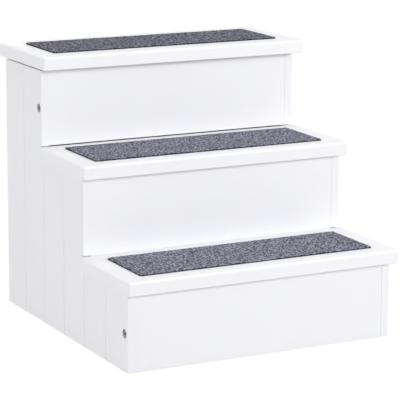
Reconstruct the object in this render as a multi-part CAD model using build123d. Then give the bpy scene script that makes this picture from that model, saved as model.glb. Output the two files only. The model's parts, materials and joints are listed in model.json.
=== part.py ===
"""Three-step pet stairs with carpeted treads and a storage box under the hinged top step.

Millimetres, +Z up. The origin is the bottom centre of the whole object's box: +X is the right-hand
side for someone who faces the stairs, and +Y runs from the lowest step to the back.
"""
from build123d import *
import os

# Boards
side_thickness = 16.0
board_thickness = 25.0
back_thickness = 16.0
floor_thickness = 12.0

# Overall form, without the overhangs of the treads
body_width = 538.0
rise = 170.5
top_rise = 173.0
run = 185.0
top_run = 173.0

# Treads and lid
side_overhang = 6.5
tread_front_overhang = 20.5
lid_front_overhang = 30.0
lid_rear_overhang = 18.0
lid_gap = 4.5
tread_edge_radius = 4.0
tread_lower_edge_radius = 0.8
lower_tread_gap = 0.2
middle_tread_gap = 1.0
riser_set_back = 0.6
upper_riser_gap = 1.7

# Outer face of the side panels
plank_width = 91.0
groove_width = 4.6
groove_depth = 3.2
panel_edge_radius = 2.0
riser_edge_radius = 0.5
back_edge_radius = 1.5
panel_slot_depth = 8.0
panel_slot_above = 1.7
panel_slot_below = 1.0

# Carpets
carpet_width = 475.0
carpet_depth = 138.0
carpet_thickness = 3.0
carpet_corner_radius = 4.0
tread_carpet_margin = 34.0
lid_carpet_margin = 41.0

# Inner boards
rail_height = 45.0
cleat_size = 20.0
floor_cleat_end_gap = 3.0
back_cleat_floor_gap = 30.0

# Side bolts and barrel nuts
bolt_height_lower = 71.0
bolt_height_upper = 413.0
bolt_diameter = 6.0
bolt_length = 50.0
bolt_head_diameter = 15.0
bolt_head_height = 4.6
bolt_head_edge = 1.2
bolt_socket_width = 5.0
bolt_socket_depth = 3.0
counterbore_diameter = 16.5
counterbore_depth = 5.6
barrel_nut_diameter = 10.0
barrel_nut_length = 18.0
barrel_nut_inset = 28.0
barrel_nut_slot_width = 1.2
barrel_nut_slot_depth = 1.0

# Wood dowels
dowel_diameter = 8.0
dowel_length = 30.0
dowel_in_panel = 10.0
dowel_end_space = 1.0
dowel_chamfer = 0.8
dowel_from_edge = 25.0
rail_dowel_from_edge = 12.0
dowels_per_end = 2

# Wood screws
screw_diameter = 4.0
screw_head_diameter = 8.0
screw_point_length = 4.0
cross_slot_width = 1.0
cross_slot_depth = 1.4
cross_slot_length_share = 0.62
cleat_screw_length = 30.0
tread_screw_length = 38.0
cleat_screw_end = 25.0
tread_screw_end = 48.0
side_cleat_screws = 2
rear_cleat_screws = 3
rear_tread_screws = 4
back_cleat_screws = 3
back_panel_screws = 2

# Butt hinges
hinge_length = 50.0
hinge_leaf_width = 12.5
hinge_leaf_thickness = 1.2
hinge_knuckle_radius = 2.6
hinge_pin_diameter = 2.6
hinge_pin_head = 0.8
hinge_clearance = 0.3
hinge_knuckle_gap = 0.25
hinge_from_side = 95.0
hinge_screw_diameter = 3.0
hinge_screw_head_diameter = 5.6
hinge_screw_length = 12.0
hinge_screw_point_length = 3.0
hinge_screw_reach = 8.0
hinge_screw_end = 8.0
hinge_leaf_screws = 3
hinge_knuckles = 3
hinge_cross_slot_width = 0.7
hinge_cross_slot_depth = 0.9

# Bumpers and floor pads
bumper_diameter = 10.0
bumper_edge_radius = 0.8
bumper_end_distance = 22.0
pad_diameter = 14.0
pad_height = 3.0
pad_proud = 1.0
pad_end_distance = 30.0

# Fits
screw_clearance = 0.05
dowel_clearance = 0.05
bolt_clearance = 0.3
pin_clearance = 0.05
cut_overrun = 2.0


# Places worked out from the sizes above

body_depth = 2 * run + top_run
overall_depth = tread_front_overhang + body_depth + lid_rear_overhang
front = tread_front_overhang - overall_depth / 2
step_faces = [front, front + run, front + 2 * run]
riser_faces = [face + riser_set_back for face in step_faces]
back = front + body_depth
side = body_width / 2
inner_side = side - side_thickness
tread_tops = [rise, 2 * rise, 2 * rise + top_rise]
tread_undersides = [top - board_thickness for top in tread_tops]
panel_tops = tread_undersides[:2] + [tread_undersides[2] - lid_gap]
storage_top = panel_tops[2]
floor_underside = tread_undersides[1]
storage_bottom = floor_underside + floor_thickness
back_inner = back - back_thickness
storage_front = riser_faces[2] + board_thickness
riser_bottoms = [pad_proud, tread_undersides[0], tread_tops[1] + upper_riser_gap]
rail_bottoms = [underside - rail_height for underside in tread_undersides[:2]]
tread_width = body_width + 2 * side_overhang
lid_back = back + lid_rear_overhang
hinge_y = back + hinge_clearance + hinge_knuckle_radius
hinge_z = tread_undersides[2] - hinge_clearance - hinge_knuckle_radius
hinge_places = [-side + hinge_from_side, side - hinge_from_side]


def box_between(low, high):
    """A box given by its lowest and its highest corner."""
    size = [b - a for a, b in zip(low, high)]
    corner = Pos(*low) * Box(*size, align=(Align.MIN, Align.MIN, Align.MIN))
    return corner


def pointing(place, direction):
    """A location at a place, whose own +Z runs along a direction."""
    return Plane(origin=place, z_dir=direction).location


def rod(place, direction, radius, length):
    """A plain rod that starts at a place and runs along a direction."""
    start = pointing(place, direction)
    return start * Cylinder(radius, length, align=(Align.CENTER, Align.CENTER, Align.MIN))


def save(name, shape):
    """Writes one sub-part to its own STEP file."""
    shape.label = name
    export_step(shape, os.path.join("parts", name + ".step"))


# Wood screws, countersunk, with a cross slot

def screw_shape(diameter, head_diameter, length, point_length, slot_width, slot_depth):
    """A countersunk screw with its flat head at the origin and its point down -Z."""
    radius = diameter / 2
    head_radius = head_diameter / 2
    cone = head_radius - radius
    outline = Polyline(
        (0, 0), (head_radius, 0), (radius, -cone), (radius, -length + point_length), (0, -length), close=True
    )
    body = revolve(Plane.XZ * make_face(outline), Axis.Z)
    slot_length = head_diameter * cross_slot_length_share
    for width, depth in [(slot_length, slot_width), (slot_width, slot_length)]:
        body -= Box(width, depth, 2 * slot_depth)
    return body


def screw_hole(diameter, head_diameter, length):
    """What a countersunk screw takes out of the wood, with its mouth at the origin."""
    radius = diameter / 2 + screw_clearance
    head_radius = head_diameter / 2 + screw_clearance
    cone = head_radius - radius
    outline = Polyline(
        (0, cut_overrun), (head_radius, cut_overrun), (head_radius, 0), (radius, -cone),
        (radius, -length - screw_clearance), (0, -length - screw_clearance), close=True
    )
    return revolve(Plane.XZ * make_face(outline), Axis.Z)


wood_screws = {}
wood_screw_holes = {}
for use, length in [("cleat", cleat_screw_length), ("tread", tread_screw_length)]:
    wood_screws[use] = screw_shape(
        screw_diameter, screw_head_diameter, length, screw_point_length, cross_slot_width, cross_slot_depth
    )
    wood_screw_holes[use] = screw_hole(screw_diameter, screw_head_diameter, length)
hinge_screw = screw_shape(
    hinge_screw_diameter, hinge_screw_head_diameter, hinge_screw_length,
    hinge_screw_point_length, hinge_cross_slot_width, hinge_cross_slot_depth
)
hinge_screw_hole = screw_hole(hinge_screw_diameter, hinge_screw_head_diameter, hinge_screw_length)


# Cleats: each one has its box, the face that its screws enter and the way that they run

def side_cleat(hand, first_y, last_y, top):
    """A cleat on the inner face of one side panel."""
    outer = hand * inner_side
    inner = outer - hand * cleat_size
    low = (min(outer, inner), first_y, top - cleat_size)
    high = (max(outer, inner), last_y, top)
    return low, high


def along(first, last, end_distance, count):
    """Evenly spaced places between two ends, kept a distance from each end."""
    start = first + end_distance
    step = (last - end_distance - start) / (count - 1)
    return [start + step * i for i in range(count)]


cleats = {}
cleat_screw_places = []
tread_screw_places = []
for step, name in enumerate(["lower", "middle"]):
    cleat_front = riser_faces[step] + board_thickness
    cleat_back = step_faces[step + 1]
    top = tread_undersides[step]
    middle_z = top - cleat_size / 2
    for hand, side_name in [(-1, "left"), (1, "right")]:
        cleats[f"tread_cleat_{name}_{side_name}"] = side_cleat(hand, cleat_front, cleat_back, top)
        entry_x = hand * (inner_side - cleat_size)
        for y in along(cleat_front, cleat_back, cleat_screw_end, side_cleat_screws):
            cleat_screw_places.append(((entry_x, y, middle_z), (-hand, 0, 0)))
        for y in along(cleat_front, cleat_back, tread_screw_end, side_cleat_screws):
            x = hand * (inner_side - cleat_size / 2)
            tread_screw_places.append(((x, y, top - cleat_size), (0, 0, -1)))
    rear_side = inner_side - cleat_size
    low = (-rear_side, cleat_back - cleat_size, top - cleat_size)
    high = (rear_side, cleat_back, top)
    cleats[f"tread_cleat_{name}_rear"] = (low, high)
    for x in along(-rear_side, rear_side, cleat_screw_end, rear_cleat_screws):
        cleat_screw_places.append(((x, cleat_back - cleat_size, middle_z), (0, -1, 0)))
    for x in along(-rear_side, rear_side, tread_screw_end, rear_tread_screws):
        tread_screw_places.append(((x, cleat_back - cleat_size / 2, top - cleat_size), (0, 0, -1)))

floor_cleat_front = storage_front + floor_cleat_end_gap
floor_cleat_back = back_inner - floor_cleat_end_gap
back_cleat_bottom = pad_proud + back_cleat_floor_gap
back_cleat_top = floor_underside - cleat_size - floor_cleat_end_gap
for hand, side_name in [(-1, "left"), (1, "right")]:
    cleats[f"floor_cleat_{side_name}"] = side_cleat(hand, floor_cleat_front, floor_cleat_back, floor_underside)
    entry_x = hand * (inner_side - cleat_size)
    for y in along(floor_cleat_front, floor_cleat_back, cleat_screw_end, side_cleat_screws):
        cleat_screw_places.append(((entry_x, y, floor_underside - cleat_size / 2), (-hand, 0, 0)))
    low, high = side_cleat(hand, back_inner - cleat_size, back_inner, back_cleat_top)
    cleats[f"back_cleat_{side_name}"] = ((low[0], low[1], back_cleat_bottom), high)
    for z in along(back_cleat_bottom, back_cleat_top, cleat_screw_end, back_cleat_screws):
        cleat_screw_places.append(((entry_x, back_inner - cleat_size / 2, z), (-hand, 0, 0)))
    for z in along(back_cleat_bottom, back_cleat_top, tread_screw_end, back_panel_screws):
        x = hand * (inner_side - cleat_size / 2)
        cleat_screw_places.append(((x, back_inner - cleat_size, z), (0, -1, 0)))

cleat_screws = [pointing(place, out) * wood_screws["cleat"] for place, out in cleat_screw_places]
cleat_cuts = [pointing(place, out) * wood_screw_holes["cleat"] for place, out in cleat_screw_places]
tread_screws = [pointing(place, out) * wood_screws["tread"] for place, out in tread_screw_places]
tread_cuts = [pointing(place, out) * wood_screw_holes["tread"] for place, out in tread_screw_places]


# Dowels in the ends of the risers, of the rails behind the treads and of the back panel

dowel_places = []
dowel_rows = [
    (riser_faces[0] + board_thickness / 2, riser_bottoms[0], panel_tops[0], dowel_from_edge),
    (riser_faces[1] + board_thickness / 2, tread_tops[0], panel_tops[1], dowel_from_edge),
    (riser_faces[2] + board_thickness / 2, riser_bottoms[2], panel_tops[2], dowel_from_edge),
    (step_faces[1] + board_thickness / 2, rail_bottoms[0], tread_undersides[0], rail_dowel_from_edge),
    (step_faces[2] + board_thickness / 2, rail_bottoms[1], tread_undersides[1], rail_dowel_from_edge),
    (back - back_thickness / 2, storage_bottom, storage_top, dowel_from_edge),
]
for y, low_z, high_z, from_edge in dowel_rows:
    for z in along(low_z, high_z, from_edge, dowels_per_end):
        for hand in (-1, 1):
            dowel_places.append((hand, y, z))


def dowel_run(hand, y, z, radius, extra):
    """A dowel, or the hole for one, that reaches from a side panel into a board."""
    start = hand * (inner_side + dowel_in_panel + extra)
    return rod((start, y, z), (-hand, 0, 0), radius, dowel_length + 2 * extra)


dowels = []
dowel_cuts = []
for hand, y, z in dowel_places:
    dowel = dowel_run(hand, y, z, dowel_diameter / 2, 0)
    dowels.append(chamfer(dowel.edges().filter_by(GeomType.CIRCLE), dowel_chamfer))
    dowel_cuts.append(dowel_run(hand, y, z, dowel_diameter / 2 + dowel_clearance, dowel_end_space))


# Side bolts, their counterbores and their barrel nuts

bolt_rows = [
    (riser_faces[0] + board_thickness / 2, bolt_height_lower),
    (riser_faces[2] + board_thickness / 2, bolt_height_upper),
]
side_bolts = {-1: [], 1: []}
bolt_cuts = []
barrel_nuts = []
barrel_nut_cuts = []
bolt_seat = side - counterbore_depth
nut_x = inner_side - barrel_nut_inset
for y, z in bolt_rows:
    for hand in (-1, 1):
        seat = (hand * bolt_seat, y, z)
        head = rod(seat, (hand, 0, 0), bolt_head_diameter / 2, bolt_head_height)
        rim = head.faces().sort_by(Axis.X)[-1 if hand > 0 else 0].edges()
        head = chamfer(rim, bolt_head_edge)
        socket = extrude(RegularPolygon(bolt_socket_width / 2, 6, major_radius=False), bolt_socket_depth)
        head_face = (hand * (bolt_seat + bolt_head_height), y, z)
        head -= pointing(head_face, (-hand, 0, 0)) * socket
        shank = rod(seat, (-hand, 0, 0), bolt_diameter / 2, bolt_length)
        side_bolts[hand].append(head + shank)
        mouth = (hand * (side + cut_overrun), y, z)
        wide = rod(mouth, (-hand, 0, 0), counterbore_diameter / 2, counterbore_depth + cut_overrun)
        narrow = rod(seat, (-hand, 0, 0), bolt_diameter / 2 + bolt_clearance, bolt_length + bolt_clearance)
        bolt_cuts.append(wide + narrow)
        nut_face = y + board_thickness / 2
        nut = rod((hand * nut_x, nut_face, z), (0, -1, 0), barrel_nut_diameter / 2, barrel_nut_length)
        nut -= rod((hand * (nut_x + barrel_nut_diameter), y, z), (-hand, 0, 0),
                   bolt_diameter / 2 + screw_clearance, 2 * barrel_nut_diameter)
        slot = Box(barrel_nut_diameter + cut_overrun, 2 * barrel_nut_slot_depth, barrel_nut_slot_width)
        nut -= Pos(hand * nut_x, nut_face, z) * slot
        barrel_nuts.append(nut)
        nut_mouth = (hand * nut_x, nut_face + cut_overrun, z)
        barrel_nut_cuts.append(
            rod(nut_mouth, (0, -1, 0), barrel_nut_diameter / 2 + screw_clearance,
                barrel_nut_length + cut_overrun + screw_clearance)
        )


# Hinges

def hinge_screw_xs(x):
    """Where the three screws of one leaf lie along the hinge."""
    return along(x - hinge_length / 2, x + hinge_length / 2, hinge_screw_end, hinge_leaf_screws)


def knuckle(x, length):
    """A stretch of the hinge's barrel, centred at x."""
    barrel = rod((x - length / 2, hinge_y, hinge_z), (1, 0, 0), hinge_knuckle_radius, length)
    return barrel


def knuckle_bore(x, radius):
    """The bore for the pin through the whole hinge."""
    start = (x - hinge_length / 2 - cut_overrun, hinge_y, hinge_z)
    return rod(start, (1, 0, 0), radius, hinge_length + 2 * cut_overrun)


knuckle_length = hinge_length / hinge_knuckles
end_knuckle = knuckle_length - hinge_knuckle_gap
pin_radius = hinge_pin_diameter / 2
leaf_relief = hinge_knuckle_radius + hinge_clearance
frame_leaves = []
lid_leaves = []
hinge_pins = []
frame_hinge_screws = []
lid_hinge_screws = []
frame_hinge_cuts = []
lid_hinge_cuts = []
for x in hinge_places:
    left_end = x - hinge_length / 2
    right_end = x + hinge_length / 2
    ends = [left_end + end_knuckle / 2, right_end - end_knuckle / 2]

    leaf = box_between(
        (left_end, back, hinge_z - hinge_leaf_width), (right_end, back + hinge_leaf_thickness, hinge_z)
    )
    leaf -= box_between(
        (x - knuckle_length / 2, back - cut_overrun, hinge_z - leaf_relief),
        (x + knuckle_length / 2, back + cut_overrun, hinge_z + cut_overrun),
    )
    for end in ends:
        leaf += knuckle(end, end_knuckle)
    leaf -= knuckle_bore(x, pin_radius)
    for screw_x in hinge_screw_xs(x):
        place = (screw_x, back + hinge_leaf_thickness, hinge_z - hinge_screw_reach)
        at = pointing(place, (0, 1, 0))
        leaf -= at * hinge_screw_hole
        frame_hinge_screws.append(at * hinge_screw)
        frame_hinge_cuts.append(at * hinge_screw_hole)
    frame_leaves.append(leaf)

    underside = tread_undersides[2]
    leaf = box_between(
        (left_end, hinge_y, underside - hinge_leaf_thickness), (right_end, hinge_y + hinge_leaf_width, underside)
    )
    for end in ends:
        near = end - (end_knuckle + 2 * hinge_knuckle_gap) / 2
        far = end + (end_knuckle + 2 * hinge_knuckle_gap) / 2
        leaf -= box_between(
            (near, hinge_y - cut_overrun, underside - cut_overrun),
            (far, hinge_y + leaf_relief, underside + cut_overrun),
        )
    leaf += knuckle(x, knuckle_length - hinge_knuckle_gap)
    leaf -= knuckle_bore(x, pin_radius + pin_clearance)
    for screw_x in hinge_screw_xs(x):
        place = (screw_x, hinge_y + hinge_screw_reach, underside - hinge_leaf_thickness)
        at = pointing(place, (0, 0, -1))
        leaf -= at * hinge_screw_hole
        lid_hinge_screws.append(at * hinge_screw)
        lid_hinge_cuts.append(at * hinge_screw_hole)
    lid_leaves.append(leaf)

    pin_start = (left_end - hinge_pin_head, hinge_y, hinge_z)
    pin = rod(pin_start, (1, 0, 0), pin_radius, hinge_length + 2 * hinge_pin_head)
    pin = fillet(pin.edges().filter_by(GeomType.CIRCLE), hinge_pin_head / 2)
    hinge_pins.append(pin)


# Side panels

def side_panel(hand):
    """One stepped side panel, V-grooved outside, with a slot that clears the back of each tread."""
    outline = Polyline(
        (step_faces[0], pad_proud),
        (step_faces[0], panel_tops[0]),
        (step_faces[1], panel_tops[0]),
        (step_faces[1], panel_tops[1]),
        (step_faces[2], panel_tops[1]),
        (step_faces[2], panel_tops[2]),
        (back, panel_tops[2]),
        (back, pad_proud),
        close=True,
    )
    inner = hand * inner_side
    panel = extrude(Plane.YZ * make_face(outline), side_thickness)
    panel = Pos(inner if hand > 0 else -side, 0, 0) * panel
    outer_face = panel.faces().sort_by(Axis.X)[-1 if hand > 0 else 0]
    panel = fillet(outer_face.edges(), panel_edge_radius)
    groove_count = int(body_depth / plank_width)
    for i in range(1, groove_count + 1):
        y = step_faces[0] + plank_width * i
        groove = Polyline(
            (hand * (side + groove_depth), y - groove_width),
            (hand * (side - groove_depth), y),
            (hand * (side + groove_depth), y + groove_width),
            close=True,
        )
        height = panel_tops[2] + cut_overrun
        panel -= extrude(make_face(groove), height)
    for face_y, top in zip(step_faces[1:], tread_tops):
        panel -= box_between(
            (-side - cut_overrun, face_y - cut_overrun, top - panel_slot_below),
            (side + cut_overrun, face_y + panel_slot_depth, top + panel_slot_above),
        )
    return panel


def cut_by(board, cutters):
    """A board with its holes, from the cutters that reach it."""
    box = board.bounding_box()
    for cutter in cutters:
        reach = cutter.bounding_box()
        apart = any([
            reach.min.X > box.max.X, reach.max.X < box.min.X,
            reach.min.Y > box.max.Y, reach.max.Y < box.min.Y,
            reach.min.Z > box.max.Z, reach.max.Z < box.min.Z,
        ])
        if not apart:
            board -= cutter
    return board


pad_xs = [-side + side_thickness / 2, side - side_thickness / 2]
pad_ys = [step_faces[0] + pad_end_distance, back - pad_end_distance]
floor_pads = []
pad_cuts = []
bumpers = []
bumper_ys = [step_faces[2] + bumper_end_distance, back - bumper_end_distance]
for x in pad_xs:
    for y in pad_ys:
        pad = rod((x, y, 0), (0, 0, 1), pad_diameter / 2, pad_height)
        floor_pads.append(chamfer(pad.edges().group_by(Axis.Z)[0], pad_proud / 2))
        pad_cuts.append(rod((x, y, 0), (0, 0, 1), pad_diameter / 2, pad_height))
    for y in bumper_ys:
        bumper = rod((x, y, panel_tops[2]), (0, 0, 1), bumper_diameter / 2, lid_gap)
        bumpers.append(fillet(bumper.edges().group_by(Axis.Z)[-1], bumper_edge_radius))

all_cuts = cleat_cuts + dowel_cuts + bolt_cuts + barrel_nut_cuts + frame_hinge_cuts + pad_cuts


# Risers, rails, treads, lid, back panel and storage floor

def riser(step):
    """One riser between the side panels, a little behind their front edges."""
    low = (-inner_side, riser_faces[step], riser_bottoms[step])
    high = (inner_side, riser_faces[step] + board_thickness, panel_tops[step])
    board = box_between(low, high)
    face = board.faces().sort_by(Axis.Y)[0]
    ends = face.edges().filter_by(Axis.Z)
    return fillet(ends, riser_edge_radius)


def tread_rail(step):
    """The rail behind one tread, below the riser above it."""
    low = (-inner_side, step_faces[step + 1], rail_bottoms[step])
    high = (inner_side, step_faces[step + 1] + board_thickness, tread_undersides[step])
    return box_between(low, high)


def tread_board(front_y, back_y, top):
    """One tread or lid: well rounded above, just eased below."""
    low = (-tread_width / 2, front_y, top - board_thickness)
    high = (tread_width / 2, back_y, top)
    board = box_between(low, high)
    upper_edges = board.faces().sort_by(Axis.Z)[-1].edges()
    board = fillet(upper_edges + board.edges().filter_by(Axis.Z), tread_edge_radius)
    return fillet(board.faces().sort_by(Axis.Z)[0].edges(), tread_lower_edge_radius)


def cut_square(board, back_y):
    """A board whose back is sawn off square."""
    far = (tread_width, back_y + board_thickness, tread_tops[2] + cut_overrun)
    return board - box_between((-tread_width, back_y, -cut_overrun), far)


def carpet(front_y, top):
    """One carpet, stuck on a tread."""
    low = (-carpet_width / 2, front_y, top)
    high = (carpet_width / 2, front_y + carpet_depth, top + carpet_thickness)
    piece = box_between(low, high)
    return fillet(piece.edges().filter_by(Axis.Z), carpet_corner_radius)


os.makedirs("parts", exist_ok=True)

save("side_panel_left", cut_by(side_panel(-1), all_cuts))
save("side_panel_right", cut_by(side_panel(1), all_cuts))
for step, name in enumerate(["lower", "middle", "upper"]):
    save(f"riser_{name}", cut_by(riser(step), all_cuts))

tread_fronts = [step_faces[0] - tread_front_overhang, step_faces[1] - tread_front_overhang]
tread_backs = [step_faces[1] - lower_tread_gap, step_faces[2] - middle_tread_gap]
for step, name in enumerate(["lower", "middle"]):
    board = tread_board(tread_fronts[step], tread_backs[step] + tread_edge_radius, tread_tops[step])
    save(f"tread_{name}", cut_by(cut_square(board, tread_backs[step]), tread_cuts))
    save(f"tread_rail_{name}", cut_by(tread_rail(step), all_cuts))
    save(f"carpet_{name}", carpet(tread_fronts[step] + tread_carpet_margin, tread_tops[step]))

lid_front = step_faces[2] - lid_front_overhang
save("storage_lid", cut_by(tread_board(lid_front, lid_back, tread_tops[2]), lid_hinge_cuts))
save("carpet_upper", carpet(lid_front + lid_carpet_margin, tread_tops[2]))

back_board = box_between((-inner_side, back_inner, pad_proud), (inner_side, back, storage_top))
back_ends = back_board.faces().sort_by(Axis.Y)[-1].edges().filter_by(Axis.Z)
save("back_panel", cut_by(fillet(back_ends, back_edge_radius), all_cuts))
save("storage_floor", box_between(
    (-inner_side, step_faces[2], floor_underside), (inner_side, back_inner, storage_bottom)
))

for name, (low, high) in cleats.items():
    save(name, cut_by(box_between(low, high), cleat_cuts + tread_cuts))

save("side_bolts_left", Compound(children=side_bolts[-1]))
save("side_bolts_right", Compound(children=side_bolts[1]))
save("barrel_nuts", Compound(children=barrel_nuts))
save("wood_dowels", Compound(children=dowels))
save("cleat_screws", Compound(children=cleat_screws))
save("tread_screws", Compound(children=tread_screws))
for side_name, leaf, lid_leaf, pin in zip(["left", "right"], frame_leaves, lid_leaves, hinge_pins):
    save(f"hinge_{side_name}_frame_leaf", leaf)
    save(f"hinge_{side_name}_lid_leaf", lid_leaf)
    save(f"hinge_{side_name}_pin", pin)
save("hinge_frame_screws", Compound(children=frame_hinge_screws))
save("hinge_lid_screws", Compound(children=lid_hinge_screws))
save("lid_bumpers", Compound(children=bumpers))
save("floor_pads", Compound(children=floor_pads))

print("hinge pin axis", round(hinge_y, 3), round(hinge_z, 3))
print("storage box inside", inner_side, round(storage_front, 3), round(back_inner, 3), storage_bottom, storage_top)
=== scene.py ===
# %% [markdown]
# # Pet stairs with three carpeted steps
# A small piece of painted furniture: two grooved side panels, three risers, three steps with a
# carpet inlay on each, and a storage box under the top step, which lifts on two hinges. The packed
# model already holds every board, screw and hinge at its real size, so this lesson dresses it:
# paint, bare wood, metal and soft plastic are made as node materials, and the carpets are modelled
# as thick felt with a fibrous face.

# %% Load the frame
import json
import math

import bmesh
import bpy
from mathutils import Matrix, Vector


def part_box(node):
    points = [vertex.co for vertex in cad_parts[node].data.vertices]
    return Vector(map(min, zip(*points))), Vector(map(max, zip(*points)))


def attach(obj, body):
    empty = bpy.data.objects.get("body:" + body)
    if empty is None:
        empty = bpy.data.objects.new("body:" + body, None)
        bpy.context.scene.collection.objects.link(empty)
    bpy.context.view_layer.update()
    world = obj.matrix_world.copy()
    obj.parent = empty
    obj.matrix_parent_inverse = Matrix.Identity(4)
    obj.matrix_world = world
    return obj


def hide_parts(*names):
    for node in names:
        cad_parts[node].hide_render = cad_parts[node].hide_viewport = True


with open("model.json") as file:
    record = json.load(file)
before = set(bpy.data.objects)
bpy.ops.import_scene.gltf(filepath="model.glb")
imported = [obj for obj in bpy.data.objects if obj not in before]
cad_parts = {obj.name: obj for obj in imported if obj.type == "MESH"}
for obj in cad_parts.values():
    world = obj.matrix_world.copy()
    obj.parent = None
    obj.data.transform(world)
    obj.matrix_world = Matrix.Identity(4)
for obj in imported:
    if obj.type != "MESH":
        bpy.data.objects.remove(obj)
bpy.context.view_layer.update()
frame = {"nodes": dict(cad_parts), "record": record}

nodes = frame["nodes"]
millimetre = 0.001

# %% [markdown]
# The photograph was taken with a long lens from the left, above the top step. A camera's place and
# turn follow from the straight edges of the stairs in the picture, worked out once in the
# picture's own pixels. Blender's lens is a length, so the focal length in pixels is multiplied by
# the sensor's width over the picture's width.

# %% Camera
picture_width = 400
focal_pixels = 2046.3
sensor_width = 36.0
camera_place = Vector((-1.7501, -3.3667, 1.0693))
camera_yaw = 27.642
camera_pitch = -12.423
camera_roll = 0.360
nearest_seen = 0.1
farthest_seen = 100


def look_rotation(yaw, pitch, roll):
    """The rotation of a camera that looks along +Y, then turns right by yaw and up by pitch.

    The angles are in degrees, and roll leans the camera about its own line of sight.
    """
    turn = Matrix.Rotation(math.radians(-yaw), 4, "Z")
    tilt = Matrix.Rotation(math.radians(90 + pitch), 4, "X")
    lean = Matrix.Rotation(math.radians(roll), 4, "Z")
    return turn @ tilt @ lean


lens = bpy.data.cameras.new("camera")
lens.sensor_width = sensor_width
lens.lens = focal_pixels * sensor_width / picture_width
lens.clip_start = nearest_seen
lens.clip_end = farthest_seen
camera = bpy.data.objects.new("camera", lens)
bpy.context.scene.collection.objects.link(camera)
camera_turn = look_rotation(camera_yaw, camera_pitch, camera_roll)
camera.matrix_world = Matrix.Translation(camera_place) @ camera_turn
bpy.context.scene.camera = camera
bpy.context.scene.view_settings.view_transform = "Standard"
print("lens", round(lens.lens, 1), "mm")

# %% [markdown]
# Node materials are trees of small operations. A few helpers keep them short. One adds a node and
# sets its inputs and options, and one joins two sockets. Here a source is always a pair: a node
# and the name of its output. An input can then be fed with either a plain value or a source.

# %% Node helpers


def add(tree, kind, inputs=None, **options):
    """Adds a node; inputs are values by socket, and options are the node's own settings."""
    made = tree.nodes.new(kind)
    for option, value in options.items():
        setattr(made, option, value)
    for socket, value in (inputs or {}).items():
        made.inputs[socket].default_value = value
    return made


def join(tree, source, target, entry):
    """Joins a source to an input socket."""
    node, output = source
    tree.links.new(node.outputs[output], target.inputs[entry])


def is_source(value):
    """Tells a source from a plain number or colour."""
    return isinstance(value, tuple) and isinstance(value[0], bpy.types.Node)


def feed(tree, value, target, entry):
    """Joins a source to an input socket, or sets the socket to a plain value."""
    if is_source(value):
        join(tree, value, target, entry)
    else:
        target.inputs[entry].default_value = value


print("helpers", [helper.__name__ for helper in (add, join, is_source, feed)])

# %% [markdown]
# Four operations come back in most materials: arithmetic on factors, a noise texture, a factor
# that is stretched to another range, and a mix of two colours. Each gets a helper. A noise
# texture's scale is one over the size of its lumps, so the helper takes that size, which is easier
# to picture. A Mix node has sockets of one name for numbers, vectors and colours, so those for
# colours are given by their number.

# %% Helpers for arithmetic, noise and mixes
full_range = (0.0, 1.0)
mix_factor, mix_first, mix_second, mix_result = 0, 6, 7, 2


def maths(tree, operation, *values, clamp=False):
    """A Math node on plain numbers or sources; returns its result as a source."""
    made = add(tree, "ShaderNodeMath", operation=operation, use_clamp=clamp)
    for entry, value in enumerate(values):
        feed(tree, value, made, entry)
    return made, "Value"


def noise(tree, vector, size, detail):
    """A noise texture with lumps of a given size; returns its node."""
    made = add(tree, "ShaderNodeTexNoise", {"Scale": 1 / size, "Detail": detail})
    join(tree, vector, made, "Vector")
    return made


def spread(tree, source, old_range, new_range):
    """Stretches a factor from one range to another and stops it at both ends."""
    ranged = add(tree, "ShaderNodeMapRange", clamp=True)
    ranged.inputs["From Min"].default_value, ranged.inputs["From Max"].default_value = old_range
    ranged.inputs["To Min"].default_value, ranged.inputs["To Max"].default_value = new_range
    join(tree, source, ranged, "Value")
    return ranged, "Result"


def mixed(tree, factor, first, second):
    """Mixes two colours, each a plain colour or a source, by a factor."""
    made = add(tree, "ShaderNodeMix", data_type="RGBA")
    join(tree, factor, made, mix_factor)
    for entry, colour in ((mix_first, first), (mix_second, second)):
        feed(tree, colour if is_source(colour) else (*colour, 1), made, entry)
    return made, mix_result


print("helpers", [helper.__name__ for helper in (maths, noise, spread, mixed)])

# %% [markdown]
# An effect that several materials share is a group, a tree of its own whose sockets are made
# through its interface. A group is placed in a material with that material's own values. Every
# material starts in the same way too, with a shader and Object coordinates, which are metres on
# the piece itself and stay with it when it moves. Fine relief goes into the shader's normal.

# %% Helpers for groups and materials


def start_group(name, entries, results):
    """Starts a node group and returns its tree, its input node and its output node."""
    tree = bpy.data.node_groups.new(name, "ShaderNodeTree")
    for label, kind in entries:
        tree.interface.new_socket(label, in_out="INPUT", socket_type=kind)
    for label, kind in results:
        tree.interface.new_socket(label, in_out="OUTPUT", socket_type=kind)
    return tree, tree.nodes.new("NodeGroupInput"), tree.nodes.new("NodeGroupOutput")


def use_group(tree, group, vector, inputs):
    """Places a group with its own values on a vector, and returns its node."""
    made = add(tree, "ShaderNodeGroup", inputs, node_tree=group)
    join(tree, vector, made, "Vector")
    return made


def start_material(name, roughness=0.5, metallic=0.0):
    """A new material, its tree, its shader, and Object coordinates as a source."""
    material = bpy.data.materials.new(name)
    material.use_nodes = True
    tree = material.node_tree
    shader = tree.nodes["Principled BSDF"]
    shader.inputs["Roughness"].default_value = roughness
    shader.inputs["Metallic"].default_value = metallic
    return material, tree, shader, (add(tree, "ShaderNodeTexCoord"), "Object")


def bump(tree, shader, source, height, strength=1.0):
    """Turns a height factor into a normal; height is what the factor's full range stands for."""
    relief = add(tree, "ShaderNodeBump", {"Strength": strength, "Distance": height})
    join(tree, source, relief, "Height")
    join(tree, (relief, "Normal"), shader, "Normal")


print("helpers", [helper.__name__ for helper in (start_group, use_group, start_material, bump)])

# %% [markdown]
# Real surfaces are never one even colour. A painted board shows broad, faint clouds where the film
# is thicker, and a metal plate shows duller patches where hands and air have touched it. One group
# gives that cloudiness as a factor, and each material says how large and how strong the clouds are.

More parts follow.
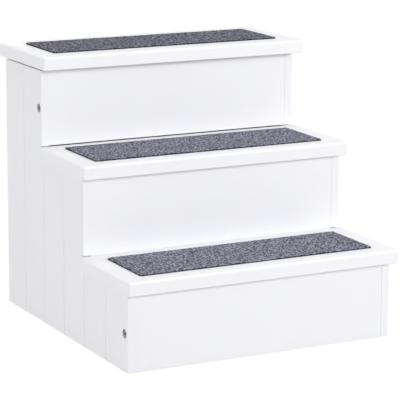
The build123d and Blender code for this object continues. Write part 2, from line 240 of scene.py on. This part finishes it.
# %% Cloudiness, shared by paint, metal, plastic and floor
cloud_texture = {"Detail": 3.0, "Roughness": 0.55}
factor_middle = 0.5

cloud_group, entry, result = start_group(
    "cloudiness",
    [("Vector", "NodeSocketVector"), ("Size", "NodeSocketFloat"), ("Contrast", "NodeSocketFloat")],
    [("Factor", "NodeSocketFloat")],
)
clouds = add(cloud_group, "ShaderNodeTexNoise", cloud_texture)
join(cloud_group, (entry, "Vector"), clouds, "Vector")
join(cloud_group, maths(cloud_group, "DIVIDE", 1.0, (entry, "Size")), clouds, "Scale")
centred = maths(cloud_group, "SUBTRACT", (clouds, "Fac"), factor_middle)
contrasted = maths(
    cloud_group, "MULTIPLY_ADD", centred, (entry, "Contrast"), factor_middle, clamp=True
)
join(cloud_group, contrasted, result, "Factor")
print("group", cloud_group.name)

# %% [markdown]
# The boards are fibreboard with a satin white lacquer. Sprayed lacquer dries with a fine
# orange-peel ripple, about two millimetres across and far too low to see except in reflections, so
# it goes into the normal. The colour stays nearly white, with clouds of a slightly warmer and a
# slightly cooler white. The underside of the lid, which is only seen when the box is open, is
# painted a little greyer, which is painted shade. A mask on the height in Object coordinates finds
# it, and those coordinates turn with the lid, so the painted shade stays in place.

# %% White lacquer
white_cool = (0.872, 0.875, 0.908)
white_warm = (0.888, 0.889, 0.912)
# Grey of the lid's underside: painted shade.
painted_shade_grey = (0.745, 0.750, 0.772)
film_clouds = {"Size": 0.13, "Contrast": 1.6}
sheen_clouds = {"Size": 0.02, "Contrast": 1.4}
sheen_spread = (0.2, 0.8)
lacquer_roughness = (0.40, 0.50)
peel_clouds = {"Size": 2.2 * millimetre, "Contrast": 1.0}
peel_height = 0.010 * millimetre
edge_fade = 0.5 * millimetre
underside_margin = 0.2 * millimetre


def white_lacquer(name, shade_below=None):
    """Satin white lacquer on fibreboard, painted greyer below a height where one is given, as
    painted shade.
    """
    material, tree, shader, place = start_material(name)
    film = use_group(tree, cloud_group, place, film_clouds)
    colour = mixed(tree, (film, "Factor"), white_cool, white_warm)
    # Below the given height the colour fades to grey: painted shade.
    if shade_below is not None:
        split = add(tree, "ShaderNodeSeparateXYZ")
        join(tree, place, split, "Vector")
        fade = (shade_below, shade_below + edge_fade)
        out_of_shade = spread(tree, (split, "Z"), fade, full_range)
        colour = mixed(tree, out_of_shade, painted_shade_grey, colour)
    join(tree, colour, shader, "Base Color")
    sheen = use_group(tree, cloud_group, place, sheen_clouds)
    roughness = spread(tree, (sheen, "Factor"), sheen_spread, lacquer_roughness)
    join(tree, roughness, shader, "Roughness")
    peel = use_group(tree, cloud_group, place, peel_clouds)
    bump(tree, shader, (peel, "Factor"), peel_height)
    return material


lacquer = white_lacquer("white_lacquer")
lid_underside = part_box("storage_lid")[0].z
# The lid's lacquer, with painted shade on its underside.
lid_lacquer = white_lacquer("lid_lacquer", shade_below=lid_underside + underside_margin)
print("materials", lacquer.name, lid_lacquer.name, "underside at", round(lid_underside, 4))

# %% [markdown]
# The cleats are planed pine and the dowels are beech. Pine has growth rings that a board cuts
# lengthwise, so its face shows long stripes of pale early wood and darker late wood. Rings are a
# wave pattern round a far axis, bent by noise, with short fibre streaks on top. The group reads a
# vector whose X runs along the grain, so a material turns it with a Mapping node to suit the board.
# The streaks come from lumps of one unit on a vector that another Mapping node has stretched.

# %% Wood grain, shared by pine and beech
ring_stretch = {"Scale": (0.12, 1.0, 1.0), "Location": (0.3, 0.11, 0.07)}
ring_bend = {"Distortion": 5.0, "Detail": 2.5, "Detail Scale": 1.2}
late_wood_range = (0.35, 1.0)
streak_stretch = {"Scale": (40.0, 900.0, 900.0)}
streak_detail = 2.0
streak_share, streak_start = 0.45, -0.12
unit_lumps = 1.0

grain_group, entry, result = start_group(
    "wood_grain",
    [
        ("Vector", "NodeSocketVector"),
        ("Early Wood", "NodeSocketColor"),
        ("Late Wood", "NodeSocketColor"),
        ("Ring Scale", "NodeSocketFloat"),
    ],
    [("Color", "NodeSocketColor"), ("Height", "NodeSocketFloat")],
)
ring_place = add(grain_group, "ShaderNodeMapping", ring_stretch)
join(grain_group, (entry, "Vector"), ring_place, "Vector")
rings = add(
    grain_group, "ShaderNodeTexWave", ring_bend, wave_type="RINGS", rings_direction="X"
)
join(grain_group, (ring_place, "Vector"), rings, "Vector")
join(grain_group, (entry, "Ring Scale"), rings, "Scale")
late = spread(grain_group, (rings, "Fac"), late_wood_range, full_range)
streak_place = add(grain_group, "ShaderNodeMapping", streak_stretch)
join(grain_group, (entry, "Vector"), streak_place, "Vector")
streaks = (noise(grain_group, (streak_place, "Vector"), unit_lumps, streak_detail), "Fac")
dark_streaks = maths(
    grain_group, "MULTIPLY_ADD", streaks, streak_share, streak_start, clamp=True
)
darkness = maths(grain_group, "ADD", late, dark_streaks, clamp=True)
wood = mixed(grain_group, darkness, (entry, "Early Wood"), (entry, "Late Wood"))
join(grain_group, wood, result, "Color")
join(grain_group, streaks, result, "Height")
print("group", grain_group.name)

# %% [markdown]
# A board's grain runs along its length, and the cleats lie three ways, so there is one pine
# material for each way: the Mapping node turns the coordinates until the grain's X lies along the
# board.

# %% Pine and beech
quarter_turn = math.pi / 2
grain_turns = {"x": (0, 0, 0), "y": (0, 0, quarter_turn), "z": (0, quarter_turn, 0)}
wood_roughness = 0.62
wood_fibre_height = 0.12 * millimetre
pine_grain = {
    "Early Wood": (0.74, 0.56, 0.35, 1), "Late Wood": (0.52, 0.32, 0.15, 1), "Ring Scale": 60.0
}
beech_grain = {
    "Early Wood": (0.66, 0.45, 0.28, 1), "Late Wood": (0.50, 0.32, 0.19, 1), "Ring Scale": 110.0
}


def bare_wood(name, way, wood_grain):
    """Planed bare wood whose grain runs along X, Y or Z."""
    material, tree, shader, place = start_material(name, wood_roughness)
    turned = add(tree, "ShaderNodeMapping", {"Rotation": grain_turns[way]})
    join(tree, place, turned, "Vector")
    grain = use_group(tree, grain_group, (turned, "Vector"), wood_grain)
    join(tree, (grain, "Color"), shader, "Base Color")
    bump(tree, shader, (grain, "Height"), wood_fibre_height)
    return material


pine = {way: bare_wood(f"pine_along_{way}", way, pine_grain) for way in "xyz"}
beech = bare_wood("beech_along_x", "x", beech_grain)
print("materials", [m.name for m in pine.values()], beech.name)

# %% [markdown]
# The hinges are made of rolled steel and the screws and bolts of drawn steel, all plated with zinc.
# Rolling and drawing leave fine parallel lines, which go into the normal, and the plating is
# brighter and smoother in some patches than in others. One group gives colour, roughness and
# height, and each finish brings its own bright and dull colour.

# %% Plated steel, shared by the hinges, screws and bolts
plate_patches = {"Size": 0.006, "Contrast": 2.2}
plate_roughness = (0.30, 0.46)
line_stretch = {"Scale": (150.0, 4000.0, 4000.0)}
line_detail = 1.0
line_height = 0.01 * millimetre

metal_group, entry, result = start_group(
    "plated_steel",
    [("Vector", "NodeSocketVector"), ("Bright", "NodeSocketColor"), ("Dull", "NodeSocketColor")],
    [("Color", "NodeSocketColor"), ("Rough", "NodeSocketFloat"), ("Height", "NodeSocketFloat")],
)
patches = (use_group(metal_group, cloud_group, (entry, "Vector"), plate_patches), "Factor")
plate = mixed(metal_group, patches, (entry, "Bright"), (entry, "Dull"))
join(metal_group, plate, result, "Color")
join(metal_group, spread(metal_group, patches, full_range, plate_roughness), result, "Rough")
line_place = add(metal_group, "ShaderNodeMapping", line_stretch)
join(metal_group, (entry, "Vector"), line_place, "Vector")
lines = noise(metal_group, (line_place, "Vector"), unit_lumps, line_detail)
join(metal_group, (lines, "Fac"), result, "Height")
print("group", metal_group.name)

# %% [markdown]
# Hinges and screws have bright zinc. The barrel nuts, which the side bolts turn into, have a
# darker and duller one. The heads of the bolts, in the next cell, take their roughness and normal
# from the same group, so the start of a plated material is a helper of its own.

# %% Zinc, bright and dull
bright_zinc_colours = ((0.50, 0.50, 0.51), (0.34, 0.34, 0.345))
dull_zinc_colours = ((0.30, 0.30, 0.31), (0.16, 0.16, 0.165))


def start_plated(name, bright, dull):
    """Starts a zinc-plated material, and returns it with its tree, shader and colour."""
    material, tree, shader, place = start_material(name, metallic=1.0)
    colours = {"Bright": (*bright, 1), "Dull": (*dull, 1)}
    steel = use_group(tree, metal_group, place, colours)
    join(tree, (steel, "Rough"), shader, "Roughness")
    bump(tree, shader, (steel, "Height"), line_height)
    return material, tree, shader, (steel, "Color")


def plated(name, bright, dull):
    """Zinc-plated steel."""
    material, tree, shader, colour = start_plated(name, bright, dull)
    join(tree, colour, shader, "Base Color")
    return material


bright_zinc = plated("bright_zinc", *bright_zinc_colours)
dull_zinc = plated("dull_zinc", *dull_zinc_colours)
print("materials", bright_zinc.name, dull_zinc.name)

# %% [markdown]
# A bolt head is painted darkest on its bevel and in its socket, which is painted shade, and it is
# lighter on the flat. The flat is the part whose normal lies along the bolt, so a mask made from
# the true normal tells the two apart.

# %% Bolt heads
flat_bright_zinc = (0.32, 0.32, 0.33)
flat_dull_zinc = (0.24, 0.24, 0.245)
# Nearly black for the bevel and the socket: painted shade.
painted_shade_dark = (0.085, 0.085, 0.090)
flat_range = (0.90, 0.98)


def bolt_finish():
    """Zinc with painted shade on the bevel and in the socket and a lighter flat, for bolts that lie
    along X.
    """
    material, tree, shader, flat_colour = start_plated("bolt_zinc", flat_bright_zinc, flat_dull_zinc)
    split = add(tree, "ShaderNodeSeparateXYZ")
    join(tree, (add(tree, "ShaderNodeNewGeometry"), "True Normal"), split, "Vector")
    along_bolt = maths(tree, "ABSOLUTE", (split, "X"))
    flat = spread(tree, along_bolt, flat_range, full_range)
    # Painted shade everywhere but the flat.
    join(tree, mixed(tree, flat, painted_shade_dark, flat_colour), shader, "Base Color")
    return material


bolt_zinc = bolt_finish()
print("material", bolt_zinc.name)

# %% [markdown]
# Small soft bumpers hold the lid off the side panels, and floor pads keep the panels off the
# ground. Both are moulded in a clear-grey soft plastic that has gone slightly cloudy.

# %% Soft plastic
plastic_roughness = 0.5
plastic_haze = {"Size": 0.004, "Contrast": 1.5}
clear_grey, hazy_grey = (0.50, 0.50, 0.50), (0.60, 0.60, 0.59)
haze_height = 0.03 * millimetre


def soft_plastic():
    """Grey moulded plastic of the bumpers and floor pads."""
    material, tree, shader, place = start_material("soft_plastic", plastic_roughness)
    haze = (use_group(tree, cloud_group, place, plastic_haze), "Factor")
    join(tree, mixed(tree, haze, clear_grey, hazy_grey), shader, "Base Color")
    bump(tree, shader, haze, haze_height)
    return material


bumper_plastic = soft_plastic()
print("material", bumper_plastic.name)

# %% [markdown]
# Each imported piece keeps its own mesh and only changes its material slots. The record says which
# finish each piece has, and the piece's name says which way its grain runs. The plain slabs that
# stand for the carpets get none, because modelled carpets replace them below.

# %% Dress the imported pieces
finish_of_slot = {
    "white_paint": lacquer,
    "zinc_steel": bright_zinc,
    "bolt_steel": dull_zinc,
    "rubber": bumper_plastic,
}


def finish_for(name, slot):
    """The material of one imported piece."""
    if name == "storage_lid":
        return lid_lacquer
    if name.startswith("side_bolts"):
        return bolt_zinc
    if slot != "bare_wood":
        return finish_of_slot.get(slot)
    if name == "wood_dowels":
        return beech
    if name.endswith("_rear"):
        return pine["x"]
    if name.startswith("back_cleat"):
        return pine["z"]
    return pine["y"]


for part in frame["record"]["subparts"]:
    finish = finish_for(part["node"], part["material_slot"])
    if finish:
        for slot in nodes[part["node"]].material_slots:
            slot.material = finish

# %% [markdown]
# The carpets are needle-punched felt, cut from a roll and glued on. The face is a mat of short
# grey fibres, some nearly black and some pale, and the cut edge is painted nearly black as painted
# shade, because the light can't get between the fibres there. Noise gives the flecks, and a second
# noise bends them, so that they curl as fibres do. The felt of the top step is painted three
# quarters as light as the other two, which is painted shade.

# %% Felt material
fleck_dark = (0.078, 0.079, 0.099)
fleck_grey = (0.180, 0.183, 0.230)
fleck_pale = (0.395, 0.400, 0.483)
fleck_stops = ((0.41, fleck_dark), (0.50, fleck_grey), (0.60, fleck_pale))
fleck_size, fleck_detail = 3.7 * millimetre, 1.0
curl_size, curl_detail = 4.0 * millimetre, 2.0
curl_reach = 1.5 * curl_size
fibre_size, fibre_detail = 0.6 * millimetre, 2.0
fibre_spread = (0.30, 0.70)
fibre_shades = (0.55, 1.35)
fibre_height, fibre_strength = 0.5 * millimetre, 0.8
# Nearly black for the cut edge: painted shade.
painted_edge_shade = (0.008, 0.008, 0.011)
rim_fade = (0.45, 0.95)
felt_roughness = 0.95
felt_specular = 0.03
# The top step's felt is painted at three quarters of the others' lightness: painted shade.
lower_tone, upper_painted_shade = 1.0, 0.76


def curled_place(tree, place):
    """Object coordinates bent by noise, so that what reads them curls."""
    curl = noise(tree, place, curl_size, curl_detail)
    bend = add(tree, "ShaderNodeVectorMath", {"Scale": curl_reach}, operation="SCALE")
    join(tree, (curl, "Color"), bend, 0)
    bent = add(tree, "ShaderNodeVectorMath", operation="ADD")
    join(tree, place, bent, 0)
    join(tree, (bend, "Vector"), bent, 1)
    return bent, "Vector"


def fleck_colour(tree, place):
    """Dark, grey and pale flecks."""
    ramp = add(tree, "ShaderNodeValToRGB")
    stops = ramp.color_ramp.elements
    stops.new(factor_middle)
    for stop, (position, colour) in zip(stops, fleck_stops):
        stop.position = position
        stop.color = (*colour, 1)
    join(tree, (noise(tree, place, fleck_size, fleck_detail), "Fac"), ramp, "Fac")
    return ramp, "Color"


def felt(name, tone):
    """Heathered grey felt whose fibres are darkened by tone, which is painted shade where it is
    below 1, with painted shade at the cut edge; the attribute pile_height is 0 at the glued side
    and 1 on the face.
    """
    material, tree, shader, place = start_material(name, felt_roughness)
    shader.inputs["Specular IOR Level"].default_value = felt_specular
    bent = curled_place(tree, place)
    fibre = (noise(tree, bent, fibre_size, fibre_detail), "Fac")
    # tone darkens the fibres; below 1, on the top step, it is painted shade.
    shade = spread(tree, fibre, fibre_spread, [share * tone for share in fibre_shades])
    shaded = add(tree, "ShaderNodeMix", {mix_factor: 1.0}, data_type="RGBA", blend_type="MULTIPLY")
    join(tree, fleck_colour(tree, bent), shaded, mix_first)
    join(tree, shade, shaded, mix_second)
    # Painted shade: the cut edge turns nearly black towards the glued side.
    pile = add(tree, "ShaderNodeAttribute", attribute_name="pile_height")
    out_of_edge_shade = spread(tree, (pile, "Fac"), rim_fade, full_range)
    colour = mixed(tree, out_of_edge_shade, painted_edge_shade, (shaded, mix_result))
    join(tree, colour, shader, "Base Color")
    bump(tree, shader, fibre, fibre_height, fibre_strength)
    return material


grey_felt = felt("grey_felt", lower_tone)
# The top step's felt, painted darker as painted shade.
shaded_felt = felt("grey_felt_painted_shade", upper_painted_shade)
felts = {"carpet_lower": grey_felt, "carpet_middle": grey_felt, "carpet_upper": shaded_felt}
print("materials", sorted({made.name for made in felts.values()}))

# %% [markdown]
# The face of such felt isn't flat. It has soft lumps several millimetres across, with small tufts
# on them, and both are real relief here, because a low light and the outline would give away a
# bump in the material. Each is a texture that a Displace modifier reads further on.

# %% Felt relief
relief_depth = 2
lump_size, lump_height = 7 * millimetre, 0.5 * millimetre
tuft_size, tuft_height = 2.2 * millimetre, 0.6 * millimetre


def relief_texture(name, size):
    """A noise texture for a Displace modifier."""
    texture = bpy.data.textures.new(name, "CLOUDS")
    texture.noise_scale = size
    texture.noise_depth = relief_depth
    return texture


reliefs = (
    (relief_texture("felt_lumps", lump_size), lump_height),
    (relief_texture("felt_tufts", tuft_size), tuft_height),
)
print("reliefs", [(made.name, round(height / millimetre, 2), "mm") for made, height in reliefs])

# %% [markdown]
# A carpet's corners are slightly round. A rectangle's points become those of the same rectangle
# with round corners when the square at each corner is squeezed into a quarter disc. How far inside
# that outline a point lies tells, a little later, how much the cut edge sinks there.

# %% Carpet outline
corner_radius = 4 * millimetre


def rounded(offset, half, radius):
    """Moves a point of a rectangle into the same rectangle with round corners."""
    x, y = offset
    u = (abs(x) - (half[0] - radius)) / radius
    v = (abs(y) - (half[1] - radius)) / radius
    if u <= 0 or v <= 0:
        return x, y
    new_u = u * math.sqrt(1 - v * v / 2)
    new_v = v * math.sqrt(1 - u * u / 2)
    new_x = math.copysign(half[0] - radius + new_u * radius, x)
    new_y = math.copysign(half[1] - radius + new_v * radius, y)
    return new_x, new_y


def inside_distance(offset, half, radius):
    """How far a point lies inside the outline with round corners."""
    x = abs(offset[0]) - (half[0] - radius)
    y = abs(offset[1]) - (half[1] - radius)
    outer = math.hypot(max(x, 0), max(y, 0)) + min(max(x, y), 0)
    return radius - outer


corner = (2 * corner_radius, 2 * corner_radius)
corner_step = corner[0] - rounded(corner, corner, corner_radius)[0]
print("a corner moves in by", round(corner_step / millimetre, 2), "mm each way")

# %% [markdown]
# A carpet starts as a flat grid the size of its recess, dense enough for the relief. It gets its
# round corners, its rim is extruded down to the glue in three steps, and one face closes it
# underneath. Extruded points come after the old ones in a mesh, so those of the face come first.

# %% Carpet pad
fibre_step = 1.15 * millimetre
glue_gap = 0.05 * millimetre
rim_shares = (0.3, 0.35, 0.35)


def deselect_all():
    """Clears the selection, because an operator acts on all that is selected."""
    bpy.ops.object.select_all(action="DESELECT")


def round_corners(pad, centre, half):
    """Rounds the corners of a grid that is in edit mode, and returns the count of its points."""
    mesh = bmesh.from_edit_mesh(pad.data)
    for point in mesh.verts:
        offset = rounded((point.co.x - centre.x, point.co.y - centre.y), half, corner_radius)
        point.co.x = centre.x + offset[0]
        point.co.y = centre.y + offset[1]
    bmesh.update_edit_mesh(pad.data)
    return len(mesh.verts)


def cut_pad(name, centre, size, top):
    """A flat pad of felt with a rim; returns it and the count of the points on its face."""
    deselect_all()
    columns = round(size.x / fibre_step)
    rows = round(size.y / fibre_step)
    bpy.ops.mesh.primitive_grid_add(x_subdivisions=columns, y_subdivisions=rows, size=1)
    pad = bpy.context.object
    pad.name = name
    bpy.ops.object.mode_set(mode="EDIT")
    bpy.ops.transform.resize(value=(size.x, size.y, 1))
    bpy.ops.transform.translate(value=(centre.x, centre.y, top))
    face_points = round_corners(pad, centre, (size.x / 2, size.y / 2))
    bpy.ops.mesh.select_all(action="DESELECT")
    bpy.ops.mesh.select_mode(type="EDGE")
    bpy.ops.mesh.select_non_manifold()
    for share in rim_shares:
        drop = (size.z - glue_gap) * share
        bpy.ops.mesh.extrude_region_move(TRANSFORM_OT_translate={"value": (0, 0, -drop)})
    bpy.ops.mesh.edge_face_add()
    bpy.ops.mesh.select_all(action="SELECT")
    bpy.ops.mesh.normals_make_consistent(inside=False)
    bpy.ops.object.mode_set(mode="OBJECT")
    return pad, face_points


print("grid step", round(fibre_step / millimetre, 2), "mm")

# %% [markdown]
# The flat pad becomes felt in three steps. The share of the height that each point has is kept as
# an attribute, which the material's dark edge reads. The face sinks a little towards its edge, as
# a cut mat does. The Displace modifiers then raise the relief, less at the edge, where a group of
# points with weights holds it down, and they are applied so that the mesh itself has it.

# %% Carpet surface
edge_round = 1.4 * millimetre
edge_drop = 0.7 * millimetre
edge_relief = 0.25
relief_middle = 0.5


def keep_pile_height(pad, bottom, thickness):
    """Keeps each point's share of the height as the attribute pile_height."""
    heights = [(point.co.z - bottom) / thickness for point in pad.data.vertices]
    attribute = pad.data.attributes.new("pile_height", "FLOAT", "POINT")
    attribute.data.foreach_set("value", heights)


def sink_edge(pad, centre, half, face_points):
    """Sinks the face towards its edge, and groups its points by how much relief they get."""
    face_group = pad.vertex_groups.new(name="face")
    for point in list(pad.data.vertices)[:face_points]:
        offset = (point.co.x - centre.x, point.co.y - centre.y)
        share = min(max(inside_distance(offset, half, corner_radius) / edge_round, 0), 1)
        point.co.z -= edge_drop * (1 - share) ** 2
        weight = edge_relief + (1 - edge_relief) * share
        face_group.add([point.index], weight, "REPLACE")


def raise_relief(pad):
    """Displaces the face by each relief texture, and applies it."""
    for texture, height in reliefs:
        relief = pad.modifiers.new(texture.name, "DISPLACE")
        relief.texture = texture
        relief.texture_coords = "LOCAL"
        relief.direction = "Z"
        relief.strength = height
        relief.mid_level = relief_middle
        relief.vertex_group = "face"
        bpy.ops.object.modifier_apply(modifier=relief.name)


def make_carpet(name):
    """A felt pad that stands for one packed carpet."""
    low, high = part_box(name)
    centre = (low + high) / 2
    size = high - low
    pad, face_points = cut_pad(name.replace("carpet", "felt"), centre, size, high.z)
    keep_pile_height(pad, low.z, size.z)
    sink_edge(pad, centre, (size.x / 2, size.y / 2), face_points)
    raise_relief(pad)
    pad.data.materials.append(felts[name])
    bpy.ops.object.shade_smooth()
    return pad


print("edge sinks by", round(edge_drop / millimetre, 2), "mm")

# %% [markdown]
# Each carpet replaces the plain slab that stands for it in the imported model. The two lower ones
# belong to the fixed frame, and the upper one rides on the lid. They lie flat and glued, so the
# cut size is the laid size.

# %% Lay the three carpets
carpets = {
    "carpet_lower": ("frame", "tread_lower"),
    "carpet_middle": ("frame", "tread_middle"),
    "carpet_upper": ("lid", "storage_lid"),
}
for carpet, (body, board) in carpets.items():
    pad = make_carpet(carpet)
    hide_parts(carpet)
    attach(pad, body)
    print(pad.name, len(pad.data.polygons), "faces on", board)

# %% [markdown]
# The stairs stand on a plain white floor. Most of its white is given off towards the camera, so
# that the floor looks white without more light on the stairs, and the rest is lit, so that it
# keeps a soft shadow. What the floor throws back at the stairs is a middle grey, as in a studio
# whose walls are far away. The Light Path node tells what is looking: the camera, or a reflection
# or glass that should show the same white, or the stairs, which catch the floor's light.

# %% Floor material
white = (1, 1, 1, 1)
floor_clouds = {"Size": 1.5, "Contrast": 1.0}
floor_glow = 0.963
floor_thrown_back = ((0.49, 0.49, 0.49), (0.51, 0.51, 0.51))
floor_lit_share = 0.10
floor_kept = [[tone * floor_lit_share for tone in grey] for grey in floor_thrown_back]


def camera_or_mirror(tree):
    """A factor that is 1 for what the camera sees, directly, in a reflection or through glass."""
    path = add(tree, "ShaderNodeLightPath")
    direct = maths(tree, "MAXIMUM", (path, "Is Camera Ray"), (path, "Is Glossy Ray"))
    return maths(tree, "MAXIMUM", direct, (path, "Is Transmission Ray"))


def floor_material():
    """White floor, lit and partly glowing."""
    material = bpy.data.materials.new("floor")
    material.use_nodes = True
    tree = material.node_tree
    tree.nodes.clear()
    place = (add(tree, "ShaderNodeTexCoord"), "Object")
    tone = (use_group(tree, cloud_group, place, floor_clouds), "Factor")
    thrown = mixed(tree, tone, *floor_thrown_back)
    kept = mixed(tree, tone, *floor_kept)
    seen = camera_or_mirror(tree)
    lit = add(tree, "ShaderNodeBsdfDiffuse")
    join(tree, mixed(tree, seen, thrown, kept), lit, "Color")
    glow = add(tree, "ShaderNodeEmission", {"Color": white})
    join(tree, maths(tree, "MULTIPLY", seen, floor_glow), glow, "Strength")
    both = add(tree, "ShaderNodeAddShader")
    join(tree, (lit, "BSDF"), both, 0)
    join(tree, (glow, "Emission"), both, 1)
    output = add(tree, "ShaderNodeOutputMaterial")
    join(tree, (both, "Shader"), output, "Surface")
    return material


white_floor = floor_material()
print("material", white_floor.name)

# %% [markdown]
# The floor itself is a plane, cut into a few squares and so wide that its edge lies outside the
# photograph's view.

# %% Floor
floor_half = 15.0
floor_cuts = 3

deselect_all()
bpy.ops.mesh.primitive_plane_add(size=2 * floor_half)
floor = bpy.context.object
floor.name = "floor"
bpy.ops.object.mode_set(mode="EDIT")
bpy.ops.mesh.subdivide(number_cuts=floor_cuts)
bpy.ops.object.mode_set(mode="OBJECT")
floor.data.materials.append(white_floor)
print("floor", 2 * floor_half, "m wide")

# %% [markdown]
# The light is that of a white studio. An even white room, which is the world, fills in every
# shadow, and the camera sees it as pure white.

# %% Light of the room
room_strength = 0.475
seen_strength = 1.0


def light_room():
    """The world: even white light, and pure white where the camera sees it."""
    world = bpy.data.worlds.new("studio")
    bpy.context.scene.world = world
    world.use_nodes = True
    tree = world.node_tree
    tree.nodes.clear()
    room = add(tree, "ShaderNodeBackground", {"Color": white, "Strength": room_strength})
    backdrop = add(tree, "ShaderNodeBackground", {"Color": white, "Strength": seen_strength})
    blend = add(tree, "ShaderNodeMixShader")
    join(tree, camera_or_mirror(tree), blend, 0)
    join(tree, (room, "Background"), blend, 1)
    join(tree, (backdrop, "Background"), blend, 2)
    output = add(tree, "ShaderNodeOutputWorld")
    join(tree, (blend, "Shader"), output, "Surface")
    return world


print("world", light_room().name)

# %% [markdown]
# Square soft boxes add the direction. The main one stands low in front on the right, about 17
# degrees up, and throws the thin dark line below each tread. A wide one low on the left lights the
# grooved side panel, and a wide one overhead the tops. A fourth, weaker one behind the stairs
# keeps the back from going grey.

# %% Lamps
middle_of_stairs = Vector((0, 0, 0.25))
lamps = {
    "front_box": {"place": (3.5, -6.062, 2.39), "width": 1.6, "power": 283},
    "left_box": {"place": (-7.0, -1.2, 0.6), "width": 3.0, "power": 266},
    "top_box": {"place": (0.0, 0.1, 6.0), "width": 3.0, "power": 105},
    "back_box": {"place": (1.5, 6.0, 0.5), "width": 1.0, "power": 80},
}


def soft_box(name, place, width, power):
    """A square area lamp that faces the middle of the stairs."""
    lamp = bpy.data.lights.new(name, "AREA")
    lamp.size = width
    lamp.energy = power
    holder = bpy.data.objects.new(name, lamp)
    bpy.context.scene.collection.objects.link(holder)
    holder.location = place
    holder.rotation_euler = (middle_of_stairs - Vector(place)).to_track_quat("-Z", "Y").to_euler()


for lamp_name, settings in lamps.items():
    soft_box(lamp_name, **settings)
